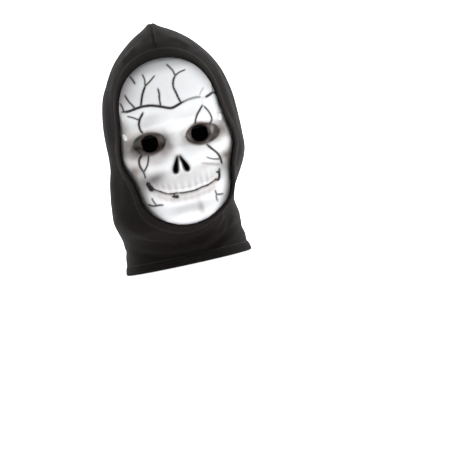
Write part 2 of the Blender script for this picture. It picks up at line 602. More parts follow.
    # ink strokes
    for w, st, path in MAIN_LINES:
        d, al = line_distance(x, z, path)
        taper = np.clip(np.minimum(al, 1 - al) * 7 + 0.45, 0, 1)
        core = smooth(-d, -(w * 1.45 * taper + 0.50), -(w * 1.45 * taper - 0.30))
        if st > 0:
            wash(np.exp(-(d / (w * 2.2)) ** 2) * 0.35, lin(120, 116, 116), st)
            ink = np.maximum(ink, core * st)
        else:
            wash(core, lin(214, 212, 212), -st)
    d, al = line_distance(x, z, MOUTH_LINE)
    wob = 0.85 + 0.25 * np.sin(al * 61) * np.sin(al * 23 + 1)
    ink = np.maximum(ink, smooth(-d, -1.45 * wob, -0.55 * wob))
    wash(np.exp(-(d / 3.2) ** 2), lin(150, 138, 134), 0.5)
    ink = np.maximum(ink, smooth(blob(x, z, -12.4, -70.2, 3.4, 2.9, 0, 2.4), 0.3, 0.75))
    ink = np.maximum(ink, smooth(blob(x, z, -40.4, -53.0, 2.6, 6.4, 32, 1.6), 0.25, 0.7) * 0.93)
    ink = np.maximum(ink, smooth(blob(x, z, 45.0, -50.8, 2.2, 5.2, -12, 1.6), 0.3, 0.8) * 0.8)
    col = col * (1 - ink[:, None]) + INK * ink[:, None]
    return np.clip(col, 0, 1), ink


pc, pink_ = paint_face(sx, sz)
colours = np.ones((len(verts), 4))
colours[:n0, :3] = pc
colours[n0:, :3] = np.array([0.62, 0.61, 0.59])
attr = me.color_attributes.new("paint", "FLOAT_COLOR", "POINT")
attr.data.foreach_set("color", colours.ravel())
inkv = np.zeros(len(verts))
inkv[:n0] = pink_
at2 = me.attributes.new("ink", "FLOAT", "POINT")
at2.data.foreach_set("value", inkv)


# ---------------------------------------------------------------------------
# materials
# ---------------------------------------------------------------------------
class Nodes:
    def __init__(self, name):
        self.mat = bpy.data.materials.new(name)
        self.mat.use_nodes = True
        self.t = self.mat.node_tree
        self.t.nodes.clear()
        self.out = self.t.nodes.new("ShaderNodeOutputMaterial")
        self.bsdf = self.t.nodes.new("ShaderNodeBsdfPrincipled")
        self.t.links.new(self.bsdf.outputs[0], self.out.inputs[0])
        self.coord = self.t.nodes.new("ShaderNodeTexCoord")

    def add(self, kind, **props):
        n = self.t.nodes.new(kind)
        for k, v in props.items():
            setattr(n, k, v)
        return n

    def link(self, a, b):
        self.t.links.new(a, b)

    def mapping(self, scale=(1, 1, 1), rot=(0, 0, 0)):
        n = self.add("ShaderNodeMapping")
        n.inputs["Scale"].default_value = scale
        n.inputs["Rotation"].default_value = rot
        self.link(self.coord.outputs["Object"], n.inputs["Vector"])
        return n.outputs[0]

    def noise(self, scale, detail=3.0, rough=0.55, vec=None, distortion=0.0):
        n = self.add("ShaderNodeTexNoise")
        n.inputs["Scale"].default_value = scale
        n.inputs["Detail"].default_value = detail
        n.inputs["Roughness"].default_value = rough
        n.inputs["Distortion"].default_value = distortion
        self.link(vec if vec is not None else self.coord.outputs["Object"], n.inputs["Vector"])
        return n.outputs["Fac"]

    def wave(self, scale, vec, distortion=0.0, direction="X", profile="SIN"):
        n = self.add("ShaderNodeTexWave", bands_direction=direction, wave_profile=profile)
        n.inputs["Scale"].default_value = scale
        n.inputs["Distortion"].default_value = distortion
        n.inputs["Detail"].default_value = 1.0
        self.link(vec, n.inputs["Vector"])
        return n.outputs["Fac"]

    def ramp(self, fac, stops):
        n = self.add("ShaderNodeValToRGB")
        el = n.color_ramp.elements
        while len(el) < len(stops):
            el.new(0.5)
        for k, (p, c) in enumerate(stops):
            el[k].position = p
            el[k].color = (*c, 1) if len(c) == 3 else c
        self.link(fac, n.inputs[0])
        return n.outputs[0]

    def math(self, op, a, b):
        n = self.add("ShaderNodeMath", operation=op)
        for k, v in enumerate((a, b)):
            if isinstance(v, (int, float)):
                n.inputs[k].default_value = v
            else:
                self.link(v, n.inputs[k])
        return n.outputs[0]

    def range(self, fac, lo, hi):
        n = self.add("ShaderNodeMapRange")
        n.inputs["To Min"].default_value = lo
        n.inputs["To Max"].default_value = hi
        self.link(fac, n.inputs["Value"])
        return n.outputs[0]

    def mix(self, fac, a, b, blend="MIX"):
        n = self.add("ShaderNodeMix", data_type="RGBA", blend_type=blend)
        if isinstance(fac, (int, float)):
            n.inputs[0].default_value = fac
        else:
            self.link(fac, n.inputs[0])
        for k, v in ((6, a), (7, b)):
            if isinstance(v, tuple):
                n.inputs[k].default_value = (*v, 1) if len(v) == 3 else v
            else:
                self.link(v, n.inputs[k])
        return n.outputs[2]

    def bump(self, height, strength, distance, before=None):
        n = self.add("ShaderNodeBump")
        n.inputs["Strength"].default_value = strength
        n.inputs["Distance"].default_value = distance
        self.link(height, n.inputs["Height"])
        if before is not None:
            self.link(before, n.inputs["Normal"])
        return n.outputs[0]

    def done(self, colour=None, rough=None, normal=None, **values):
        for src, name in ((colour, "Base Color"), (rough, "Roughness"), (normal, "Normal")):
            if src is not None:
                if isinstance(src, (int, float, tuple)):
                    self.bsdf.inputs[name].default_value = (*src, 1) if isinstance(src, tuple) else src
                else:
                    self.link(src, self.bsdf.inputs[name])
        for k, v in values.items():
            self.bsdf.inputs[k.replace("_", " ")].default_value = v
        return self.mat


def latex_material():
    n = Nodes("latex_painted")
    paint = n.add("ShaderNodeAttribute", attribute_name="paint", attribute_type="GEOMETRY")
    ink = n.add("ShaderNodeAttribute", attribute_name="ink", attribute_type="GEOMETRY")
    cloud = n.noise(38, 4, 0.6)
    tint = n.ramp(cloud, [(0.28, (0.93, 0.935, 0.95)), (0.6, (1.0, 1.0, 1.0)), (0.8, (1.0, 0.99, 0.975))])
    col = n.mix(1.0, paint.outputs["Color"], tint, "MULTIPLY")
    speck = n.noise(620, 2, 0.5)
    dots = n.ramp(speck, [(0.70, (1, 1, 1)), (0.78, (0.90, 0.89, 0.89))])
    col = n.mix(0.6, col, dots, "MULTIPLY")
    r = n.range(n.noise(90, 3), 0.30, 0.46)
    r = n.math("ADD", r, n.math("MULTIPLY", ink.outputs["Fac"], 0.12))
    pores = n.noise(900, 2, 0.6)
    soft = n.noise(120, 3, 0.5)
    nb = n.bump(pores, 0.10, 0.0004)
    nb = n.bump(soft, 0.16, 0.0010, nb)
    return n.done(col, r, nb, Subsurface_Weight=0.08, Subsurface_Scale=0.004, IOR=1.48,
                  Specular_IOR_Level=0.42, Coat_Weight=0.08, Coat_Roughness=0.35)


def jersey_material(name, base, lift, rib=False):
    n = Nodes(name)
    # knit wales and courses about half a millimetre apart
    va = n.mapping(scale=(1, 1, 1), rot=(0, 0, 0))
    v = n.wave(520, va, 1.2, "X")
    c = n.wave(560, va, 1.6, "Z")
    d = n.wave(540, va, 1.2, "Y")
    knit = n.math("MULTIPLY", n.math("ADD", v, d), c)
    fuzz = n.noise(1500, 2, 0.7)
    cloth = n.math("ADD", knit, n.math("MULTIPLY", fuzz, 0.6))
    big = n.noise(16, 4, 0.6)
    mid = n.noise(95, 3, 0.6)
    tone = n.ramp(n.math("ADD", n.math("MULTIPLY", big, 0.65), n.math("MULTIPLY", mid, 0.35)),
                  [(0.30, base), (0.72, lift)])
    lint = n.ramp(n.noise(2400, 1, 0.5), [(0.74, (1, 1, 1)), (0.80, (1.9, 1.8, 1.75))])
    col = n.mix(0.7, tone, lint, "MULTIPLY")
    r = n.range(mid, 0.66, 0.86)
    nb = n.bump(cloth, 0.45, 0.0005)
    nb = n.bump(mid, 0.20, 0.0016, nb)
    return n.done(col, r, nb, Specular_IOR_Level=0.12, Sheen_Weight=0.022, Sheen_Roughness=0.40,
                  Sheen_Tint=(0.62, 0.52, 0.47, 1))


def simple_material(name, a, b, scale, rough, bump, dist, **values):
    n = Nodes(name)
    f = n.noise(scale, 4, 0.6)
    col = n.ramp(f, [(0.3, a), (0.7, b)])
    r = n.range(n.noise(scale * 2.3, 2), *rough)
    nb = n.bump(n.noise(scale * 6, 2), bump, dist)
    return n.done(col, r, nb, **values)


M_LATEX = latex_material()
M_JERSEY = jersey_material("jersey_black", (0.0060, 0.0043, 0.0040), (0.0100, 0.0073, 0.0068))
M_BAND = jersey_material("jersey_band", (0.0068, 0.0049, 0.0046), (0.0116, 0.0086, 0.0080))
M_THREAD = simple_material("thread_black", (0.012, 0.010, 0.009), (0.022, 0.018, 0.017), 900, (0.5, 0.7), 0.4, 0.0003,
                           Sheen_Weight=0.05)
M_TAPE = simple_material("seam_tape_weave", (0.020, 0.018, 0.018), (0.034, 0.031, 0.030), 420, (0.7, 0.9), 0.5, 0.0004)


def elastic_material():
    n = Nodes("elastic_ribbed")
    va = n.mapping()
    ribs = n.wave(300, va, 0.4, "Z")
    weft = n.wave(420, va, 1.0, "Y")
    mixd = n.math("ADD", ribs, n.math("MULTIPLY", weft, 0.5))
    col = n.ramp(mixd, [(0.2, (0.012, 0.012, 0.013)), (1.0, (0.045, 0.044, 0.046))])
    r = n.range(n.noise(300, 2), 0.55, 0.8)
    return n.done(col, r, n.bump(mixd, 0.6, 0.0006), Sheen_Weight=0.15)


M_ELASTIC = elastic_material()
M_FOAM = simple_material("foam_grey", (0.10, 0.10, 0.105), (0.20, 0.20, 0.21), 700, (0.85, 0.97), 0.8, 0.0006)


def metal_material():
    n = Nodes("rivet_enamel")
    f = n.noise(260, 4, 0.6)
    col = n.ramp(f, [(0.3, (0.80, 0.80, 0.81)), (0.7, (0.88, 0.88, 0.89))])
    scratch = n.noise(900, 2, 0.5, n.mapping(scale=(1, 1, 14)))
    return n.done(col, n.range(scratch, 0.22, 0.42), n.bump(scratch, 0.15, 0.0002), Specular_IOR_Level=0.45)


M_METAL = metal_material()
M_WASHER = simple_material("washer_black", (0.02, 0.02, 0.02), (0.05, 0.05, 0.05), 500, (0.45, 0.65), 0.3, 0.0003)

me.materials.append(M_LATEX)
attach(shell, "face_mask")
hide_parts("face_shell")
for node, mat in (("rivet_left", M_METAL), ("rivet_right", M_METAL),
                  ("washer_left", M_WASHER), ("washer_right", M_WASHER)):
    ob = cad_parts[node]
    for k in range(len(ob.material_slots)):
        ob.material_slots[k].material = mat

# ---------------------------------------------------------------------------
# hood surface
# ---------------------------------------------------------------------------
EXTRA = np.array([(x, z) for x, z in FULL])


def opening_loop(top, side, chin, extra=0.0):
    n = len(FULL)
    out = []
    for i in range(n):
        (x0, z0), (x1, z1) = FULL[i - 1], FULL[(i + 1) % n]
        tx, tz = x1 - x0, z1 - z0
        L = math.hypot(tx, tz)
        nx, nz = -tz / L, tx / L
        up = max(0.0, nz) ** 1.5
        down = max(0.0, -nz) ** 1.5
        grow = GAP + extra + side + (top - side) * up + (chin - side) * down
        out.append((FULL[i][0] + nx * grow, FULL[i][1] + nz * grow))
    return closed_spline(out, 6)


OPEN_LOOP = opening_loop(0, 0, 0)


def hood_section(z):
    a = curve(HOOD_WIDE, z)
    yf = curve(HOOD_FRONT, z)
    yb = curve(HOOD_BACK, z)
    yc = 0.45 * yb + 0.55 * yf
    n = 2.25 - 0.25 * np.clip((z - 110) / 25, 0, 1)
    return a, yf, yb, yc, n


def front_y(x, z):
    a, yf, yb, yc, n = hood_section(z)
    q = np.clip(np.abs(x) / a, 0, 0.9995)
    return yc - (yc - yf) * (1 - q ** n) ** (1 / n)


# creases of the worn fabric: (half width, height, points as (x, z)) on the front and sides
FOLDS_FRONT = [
    (5.0, 1.9, [(-58, 86), (-70, 62), (-77, 30), (-79, -5), (-80, -40), (-76, -80), (-70, -112)]),
    (4.0, -1.8, [(-50, 101), (-66, 78), (-72.5, 44), (-74, 8), (-76, -20), (-73, -60), (-66, -96)]),
    (4.5, 1.3, [(-66, 96), (-80, 60), (-83, 20), (-84, -30), (-81, -70), (-78, -110)]),
    (4.0, -1.5, [(62, 92), (76, 58), (81, 22), (82, -10), (80, -40)]),
    (3.6, 1.5, [(50, 104), (66, 80), (73, 50), (76, 20), (78, -10), (76, -40), (66, -80)]),
    (3.2, 1.6, [(-22, 121), (-34, 113), (-46, 101)]),
    (3.0, 1.4, [(16, 124), (30, 117), (44, 104)]),
    (3.4, -1.3, [(-12, 130), (-28, 122), (-42, 110)]),
    (3.2, 1.8, [(-62, -98), (-40, -113), (-10, -121), (20, -119), (46, -106), (62, -90)]),
    (2.8, -1.8, [(-66, -108), (-36, -121), (-4, -128), (28, -125), (54, -112), (70, -96)]),
    (3.2, 2.1, [(-70, -118), (-30, -131), (4, -136), (34, -131), (60, -118), (74, -104)]),
    (2.8, -1.7, [(-74, -126), (-30, -139), (8, -143), (40, -137), (66, -123), (78, -112)]),
    (2.6, 1.5, [(-30, -141), (10, -148), (44, -142), (70, -128)]),
    (3.0, 2.4, [(-4, -113), (2, -125), (13, -139)]),
    (3.2, 2.4, [(56, -97), (45, -116), (28, -131), (13, -139)]),
    (2.8, -2.0, [(64, -106), (54, -124), (38, -139), (22, -146)]),
    (2.8, -1.8, [(6, -112), (14, -122), (26, -128)]),
]
FOLD_PATHS = [(w, h, open_spline(p, 5)) for w, h, p in FOLDS_FRONT]


def hood_bumps(P):
    """How far the cloth stands out from the smooth hood at points P (mm)."""
    x, y, z = P[:, 0], P[:, 1], P[:, 2]
    out = np.zeros(len(P))
    front = smooth(-y, -42, 0)
    for w, h, path in FOLD_PATHS:
        d, al = line_distance(x, z, path)
        fade = np.clip(np.minimum(al, 1 - al) * 5, 0, 1)
        out += h * np.exp(-(d / w) ** 2) * fade * front
    ang = np.arctan2(y - 10, x)
    # gathers under the skull at the back, and loose rings in the cowl
    ring = np.sin(2 * np.pi * (z + 9 * np.sin(ang * 2 + 0.7) + 5 * np.sin(ang * 3 + 2.1)) / 26.0)
    nape_w = np.exp(-((z + 92) / 26) ** 2) * smooth(y, -15, 40)
    out += 1.2 * ring * nape_w
    cowl = smooth(-z, 112, 126) * (1 - smooth(-z, 142, 150)) * smooth(y, -60, 10)
    out += 0.8 * np.sin(2 * np.pi * (z + 9 * np.sin(ang * 2 - 0.6)) / 21.0) * cowl
    # broad unevenness of cloth over hair
    out += 0.9 * np.sin(x / 17 + 1.4) * np.sin(z / 21 + 0.6) * smooth(y, -50, 30)
    out += 0.6 * np.sin(y / 13 + 0.4 * np.sin(z / 9)) * np.sin(z / 15 + x / 31) * smooth(y, -60, 0)
    # the centre seam pulls in along a line with a low swell each side
    on_front_top = smooth(z, 92, 104) * 1.0
    seam = np.maximum(on_front_top, smooth(y, 20, 60))
    out += seam * (0.9 * np.exp(-((np.abs(x) - 3.6) / 2.0) ** 2) - 1.8 * np.exp(-(x / 1.5) ** 2))
    return out


def away(x, y, z):
    """0 at the face opening, 1 some way off it."""
    d = -signed(x, z, OPEN_LOOP)
    return np.where(y < 15, smooth(d, 0, 16), 1.0)


def hood_normal(P, x, z, isfront):
    pass


def dress(P, N):
    """Puts folds and the turn of the neck on smooth hood points."""
    w = away(P[:, 0], P[:, 1], P[:, 2])
    Q = P + N * (hood_bumps(P) * (0.25 + 0.75 * w))[:, None]
    lean = smooth(-P[:, 2], 20, 96)
    Q[:, 0] -= 16.0 * lean * w
    # the right side is drawn in against the jaw
    tuck = smooth(-P[:, 2], 28, 78) * (1 - smooth(-P[:, 2], 86, 112)) * smooth(P[:, 0], 30, 70) * smooth(-P[:, 1], -40, 10)
    Q[:, 0] -= 4.0 * tuck * w
    hang = smooth(-P[:, 2], 0, 45) * (1 - smooth(-P[:, 2], 84, 122)) * smooth(-P[:, 0], 30, 72)
    Q[:, 0] -= 4.5 * hang * w
    # the peak of the crown is drawn up to a point by the seam
    Q[:, 2] += 3.2 * np.exp(-(P[:, 0] / 9.0) ** 2) * smooth(P[:, 2], 120, 141) * np.exp(-((P[:, 1] + 2) / 30) ** 2)
    return Q


# rows down the hood and columns round it
top_rows = [141.9, 141.4, 140.6, 139.6, 138.4, 137, 135.4, 133.6, 131.6, 129.4, 127, 124.5, 122]
if fine:
    rows = top_rows + list(np.arange(119.6, -155.4, -2.35)) + [-155.2]
    ncol = 248
else:
    rows = top_rows[::2] + list(np.arange(119, -155, -4.5)) + [-155.2]
    ncol = 140
rows = np.array(rows)
tt = np.linspace(0, 2 * np.pi, ncol, endpoint=False) - np.pi / 2  # first column on the front seam
tt = tt - 0.09 * np.sin(2 * (tt + np.pi / 2)) * 0.0


def hood_points(rows, tt):
    a, yf, yb, yc, n = [v[:, None] for v in hood_section(rows)]
    c, s_ = np.cos(tt)[None, :], np.sin(tt)[None, :]
    r = (np.abs(c) ** n + np.abs(s_) ** n) ** (-1 / n)
    reach = np.where(s_ > 0, yb - yc, yc - yf)
    X = a * c * r
    Y = yc + reach * s_ * r
    Z = np.repeat(rows[:, None], len(tt), 1)
    return np.stack([X, Y, Z], 2)


def grid_normals(G):
    du = np.roll(G, -1, 1) - np.roll(G, 1, 1)
    dv = np.gradient(G, axis=0)
    nrm = np.cross(dv, du)
    L = np.linalg.norm(nrm, axis=2, keepdims=True)
    nrm = nrm / np.maximum(L, 1e-9)
    cen = np.array([0, 10, 0])
    flip = np.sum(nrm * (G - np.array([0, 10, 0])) * np.array([1, 1, 0.3]), axis=2) < 0
    nrm[flip] *= -1
    return nrm


G = hood_points(rows, tt)
GN = grid_normals(G)
nr, nc = G.shape[:2]


def hood_edge(Gp):
    x, y, z = Gp[..., 0], Gp[..., 1], Gp[..., 2]
    d = -signed(x, z, OPEN_LOOP)
    return np.where(y < 0, d, 60.0)


HF = hood_edge(G)


def clip_ring(G, GN, F):
    """Clips a grid that closes on itself sideways at F = 0, keeping F >= 0."""
    verts, norms, index, faces = [], [], {}, []
    nr, nc = F.shape

    def corner(k):
        if k not in index:
            index[k] = len(verts)
            verts.append(G[k])
            norms.append(GN[k])
        return index[k]

    def cut(a, b):
        key = (a, b) if a < b else (b, a)
        if key not in index:
            t = F[a] / (F[a] - F[b])
            index[key] = len(verts)
            verts.append(G[a] + t * (G[b] - G[a]))
            v = GN[a] + t * (GN[b] - GN[a])
            norms.append(v / np.linalg.norm(v))
        return index[key]

    for j in range(nr - 1):
        for i in range(nc):
            i2 = (i + 1) % nc
            ring = [(j, i), (j + 1, i), (j + 1, i2), (j, i2)]
            fs = [F[k] for k in ring]
            if min(fs) >= 0:
                faces.append([corner(k) for k in ring])
                continue
            if max(fs) <= 0:
                continue
            poly = []
            for k in range(4):
                a, b = ring[k], ring[(k + 1) % 4]
                if F[a] >= 0:
                    poly.append(corner(a))
                if F[a] * F[b] < 0:
                    poly.append(cut(a, b))
            clean = [v for k, v in enumerate(poly) if v != poly[k - 1]]
            if len(set(clean)) >= 3:
                faces.append(clean)
    return np.array(verts), np.array(norms), faces


snap = np.abs(HF) < (0.7 if fine else 1.2)
HF2 = HF.copy()
e = 0.2
Gx, Gz = G[..., 0].copy(), G[..., 2].copy()
# slide near corners along the surface onto the opening's edge
gxd = (-signed(Gx[snap] + e, Gz[snap], OPEN_LOOP) + signed(Gx[snap] - e, Gz[snap], OPEN_LOOP)) / (2 * e)
gzd = (-signed(Gx[snap], Gz[snap] + e, OPEN_LOOP) + signed(Gx[snap], Gz[snap] - e, OPEN_LOOP)) / (2 * e)
Gx[snap] -= HF[snap] * gxd
Gz[snap] -= HF[snap] * gzd
snapped = np.stack([Gx[snap], front_y(Gx[snap], Gz[snap]), Gz[snap]], 1)
G[snap] = snapped
HF2[snap] = 0.0
hv, hn, hf = clip_ring(G, GN, HF2)
# close the ridge along the top: left and right corners of the first row meet on the seam
hq = dress(hv, hn)
FAB = 1.2


def thick_sheet(name, pts, nrm, faces, t, material):
    """A cloth sheet with its two faces and its edges, t thick, its outer face through pts."""
    n = len(pts)
    allv = np.vstack([pts, pts - nrm * t])
    ff = [list(f) for f in faces] + [[v + n for v in reversed(f)] for f in faces]
    for a, b in boundary_edges(faces):
        ff.append([b, a, a + n, b + n])
    return new_mesh(name, allv, ff, material)


def vertex_normals(pts, faces, guess):
    out = np.zeros_like(pts)
    for f in faces:
        if len(f) < 3:
            continue
        a, b, c = pts[f[0]], pts[f[1]], pts[f[2]]
        nrm = np.cross(b - a, c - a)
        if len(f) == 4:
            nrm = nrm + np.cross(c - a, pts[f[3]] - a)
        out[f] += nrm
    L = np.linalg.norm(out, axis=1, keepdims=True)
    out = np.where(L > 1e-9, out / np.maximum(L, 1e-9), guess)
    flip = np.sum(out * guess, axis=1) < 0
    out[flip] *= -1
    return out


# ridge cap: join the first row's two sides across x = 0
cap_faces = []
key_of = {}
first = {}
for k, p in enumerate(hv):
    if abs(p[2] - rows[0]) < 1e-6:
        first[(round(float(p[0]), 5), round(float(p[1]), 5))] = k
front_i = 0
half = nc // 2
row_idx = []
for i in range(nc):
    p = G[0, i]
    row_idx.append(first.get((round(float(p[0]), 5), round(float(p[1]), 5))))
for i in range(half):
    a, b = row_idx[i], row_idx[i + 1]
    c, d = row_idx[(nc - i - 1) % nc], row_idx[(nc - i) % nc]
    quad = [a, b, c, d]
    quad = [v for k, v in enumerate(quad) if v is not None and v not in quad[:k]]
    if len(quad) >= 3:
        cap_faces.append(quad)
hf_all = hf + cap_faces
qn = vertex_normals(hq, hf_all, hn)
hood = thick_sheet("hood_cloth", hq, qn, hf_all, FAB, M_JERSEY)

# ---------------------------------------------------------------------------
# folded band round the face opening
# ---------------------------------------------------------------------------
def surface_at(x, z):
    """Dressed hood points and normals at front positions (x, z)."""
    y = front_y(x, z)
    P = np.stack([x, y, z], 1)
    ee = 0.4
    fx = (front_y(x + ee, z) - front_y(x - ee, z)) / (2 * ee)
    fz = (front_y(x, z + ee) - front_y(x, z - ee)) / (2 * ee)
    fx = np.clip(fx, -8, 8)
    L = np.sqrt(fx ** 2 + fz ** 2 + 1)
    N = np.stack([fx / L, -1 / L, fz / L], 1)
    return dress(P, N), N


BAND_STEPS = [0.0, 0.12, 0.25, 0.4, 0.55, 0.7, 0.85, 1.0]
loops = []
for kk in BAND_STEPS:
    loops.append(opening_loop(12.0 * kk, 5.0 * kk, 9.0 * kk, -1.5))
NB = len(loops[0])
lip, nrm_l = [], []
for lp in loops:
    P, N = surface_at(lp[:, 0], lp[:, 1])
    lip.append(P)
    nrm_l.append(N)
lip = np.array(lip)
nrm_l = np.array(nrm_l)
K = len(BAND_STEPS)
# soft roll: full in the middle, pinched at the stitch line, puckered between stitches
per = np.arange(NB)
arc = np.concatenate([[0], np.cumsum(np.linalg.norm(np.diff(lip[0], axis=0), axis=1))])
pucker = 0.16 * np.sin(2 * np.pi * arc / 6.1) + 0.12 * np.sin(2 * np.pi * arc / 3.7 + 1)
prof_out = np.array([0.25, 0.95, 1.25, 1.25, 1.1, 0.95, 0.35, 0.15])
prof_in = np.array([-0.35, -1.45, -1.9, -2.0, -2.0, -1.9, -1.7, -1.55])
outp = lip + nrm_l * (prof_out[:, None] + pucker[None, :] * np.array([0.2, .5, .8, 1, 1, .8, .4, .1])[:, None])[:, :, None]
inp = lip + nrm_l * prof_in[:, None, None]
bverts = np.vstack([outp.reshape(-1, 3), inp.reshape(-1, 3)])
bfaces = []


def ido(k, i):
    return k * NB + i % NB


def idi(k, i):
    return K * NB + k * NB + i % NB


for i in range(NB):
    for k in range(K - 1):
        bfaces.append([ido(k, i), ido(k, i + 1), ido(k + 1, i + 1), ido(k + 1, i)])
        bfaces.append([idi(k, i + 1), idi(k, i), idi(k + 1, i), idi(k + 1, i + 1)])
    bfaces.append([ido(0, i + 1), ido(0, i), idi(0, i), idi(0, i + 1)])
    bfaces.append([ido(K - 1, i), ido(K - 1, i + 1), idi(K - 1, i + 1), idi(K - 1, i)])
band = new_mesh("opening_band", bverts, bfaces, M_BAND)


# ---------------------------------------------------------------------------
# stitches
# ---------------------------------------------------------------------------
def stitch_run(path, normals, length, step, r, lift=0.25):
    """Rows of short thread stitches along a path, each a tapered six-sided bead."""
    seg = np.linalg.norm(np.diff(path, axis=0), axis=1)
    cum = np.concatenate([[0], np.cumsum(seg)])
    V, F = [], []
    pos = step * 0.5
    while pos + length < cum[-1]:
        ends = []
        for q in (pos, pos + length * 0.5, pos + length):
            p = np.array([np.interp(q, cum, path[:, k]) for k in range(3)])
            nn = np.array([np.interp(q, cum, normals[:, k]) for k in range(3)])
            nn /= np.linalg.norm(nn) + 1e-9
            ends.append((p, nn))
        d = ends[2][0] - ends[0][0]
        d /= np.linalg.norm(d) + 1e-9
        base = len(V)
        for (p, nn), rr, up_ in zip([ends[0], ends[0], ends[1], ends[2], ends[2]],
                                    [0.25, 0.8, 1.0, 0.8, 0.25], [-0.6, 0.1, 0.7, 0.1, -0.6]):
            side = np.cross(d, nn)
            side /= np.linalg.norm(side) + 1e-9
            for a in range(6):
                th = a * math.pi / 3
                V.append(p + nn * (lift + r * up_ * 0.6) + (side * math.cos(th) + nn * math.sin(th)) * r * rr)
        # spread the end rings a little along the stitch
        for a in range(6):
            V[base + a] = V[base + a] - d * r * 0.6
            V[base + 24 + a] = V[base + 24 + a] + d * r * 0.6
        for k in range(4):
            for a in range(6):
                b = (a + 1) % 6
                F.append([base + 6 * k + a, base + 6 * k + b, base + 6 * k + 6 + b, base + 6 * k + 6 + a])
        F.append([base + a for a in range(5, -1, -1)])
        F.append([base + 24 + a for a in range(6)])
        pos += step
    return V, F


def stitches(name, runs):
    V, F = [], []
    for path, normals, length, step, r, lift in runs:
        v, f = stitch_run(path, normals, length, step, r, lift)
        n = len(V)
        V += v
        F += [[i + n for i in g] for g in f]
    return new_mesh(name, np.array(V), F, M_THREAD)


def closed(a):
    return np.vstack([a, a[:1]])


band_stitch = stitches("band_stitches", [
    (closed(outp[6]), closed(nrm_l[6]), 2.3, 3.3, 0.28, 0.10),
])

# ---------------------------------------------------------------------------
# bottom hem: the cloth turned up and sewn
# ---------------------------------------------------------------------------
hrows = np.array([-143.6, -144.6, -146.5, -149, -151.5, -153.8, -155.3, -155.9])
ho = np.array([0.15, 0.45, 0.95, 1.05, 1.05, 1.0, 0.7, 0.0])
hi = np.array([-1.35, -1.7, -2.0, -2.1, -2.1, -2.0, -1.7, -0.9])
HG = hood_points(hrows, tt)
HN = grid_normals(hood_points(np.array([-140., -143, -146, -149, -152, -154, -155, -155.9]), tt))
HN[..., 2] *= 0.2
HN /= np.linalg.norm(HN, axis=2, keepdims=True)
flat = dress(HG.reshape(-1, 3), HN.reshape(-1, 3)).reshape(HG.shape)
ang = np.arange(nc) / nc * 2 * np.pi
ripple = 0.18 * np.sin(ang * 90) + 0.14 * np.sin(ang * 61 + 1)
ow = flat + HN * (ho[:, None] + ripple[None, :] * (ho > 0.5)[:, None])[:, :, None]
iw = flat + HN * hi[:, None, None]
hk = len(hrows)
hverts = np.vstack([ow.reshape(-1, 3), iw.reshape(-1, 3)])
hverts[:, 2] = np.maximum(hverts[:, 2], -156.0)
hfaces = []
for i in range(nc):
    j = (i + 1) % nc
    for k in range(hk - 1):
        hfaces.append([k * nc + i, (k + 1) * nc + i, (k + 1) * nc + j, k * nc + j])
        o = hk * nc
        hfaces.append([o + k * nc + j, o + (k + 1) * nc + j, o + (k + 1) * nc + i, o + k * nc + i])
    hfaces.append([(hk - 1) * nc + i, hk * nc + (hk - 1) * nc + i, hk * nc + (hk - 1) * nc + j, (hk - 1) * nc + j])
    hfaces.append([i, j, hk * nc + j, hk * nc + i])
hem = new_mesh("bottom_hem_roll", hverts, hfaces, M_BAND)
hem_stitch = stitches("hem_stitches", [
    (closed(ow[1]), closed(HN[1]), 2.3, 3.4, 0.28, 0.06),
])

# ---------------------------------------------------------------------------
# tape and twin stitching along the centre seam
# ---------------------------------------------------------------------------
def seam_path():
    zs = list(np.linspace(117.5, 141.2, 26))
    fr = [(float(curve(HOOD_FRONT, z)), z) for z in zs]
    ridge = [(y, 141.9) for y in np.linspace(-17, 23, 12)]
    zb = list(np.linspace(141.2, 96, 34)) + list(np.linspace(94, -121, 96))
    bk = [(float(curve(HOOD_BACK, z)), z) for z in zb]
    return np.array(fr + ridge + bk)


sp = seam_path()
seg = np.linalg.norm(np.diff(sp, axis=0), axis=1)
cum = np.concatenate([[0], np.cumsum(seg)])
nn_ = 230
q = np.linspace(0, cum[-1], nn_)
sy_ = np.interp(q, cum, sp[:, 0])
sz_ = np.interp(q, cum, sp[:, 1])
for _ in range(3):
    sy_[1:-1] = (sy_[:-2] + 2 * sy_[1:-1] + sy_[2:]) / 4
    sz_[1:-1] = (sz_[:-2] + 2 * sz_[1:-1] + sz_[2:]) / 4
ty, tz = np.gradient(sy_), np.gradient(sz_)
TL = np.hypot(ty, tz)
sn = np.stack([np.zeros(nn_), -tz / TL, ty / TL], 1)
cen = np.stack([np.zeros(nn_), sy_ - 10, sz_], 1)
sgn = np.sign(np.sum(sn * cen, axis=1))
sn *= sgn[:, None]


def seam_strip(off_x, depth):
    P = np.stack([np.full(nn_, 0.0), sy_, sz_], 1)
    # the hood's roof falls away from the seam near the top
    zt = np.clip(sz_, -150, 141.5)
    slope = np.clip(-(curve(HOOD_WIDE, zt + 0.4) - curve(HOOD_WIDE, zt - 0.4)) / 0.8, 0.0, 6)
    drop = np.where(sz_ > 139.5, abs(off_x) / 2.6, abs(off_x) * 0.0)
    Q = dress(P, sn)
    Q[:, 0] += off_x
    Q[:, 2] -= drop * 0.9
    return Q + sn * depth


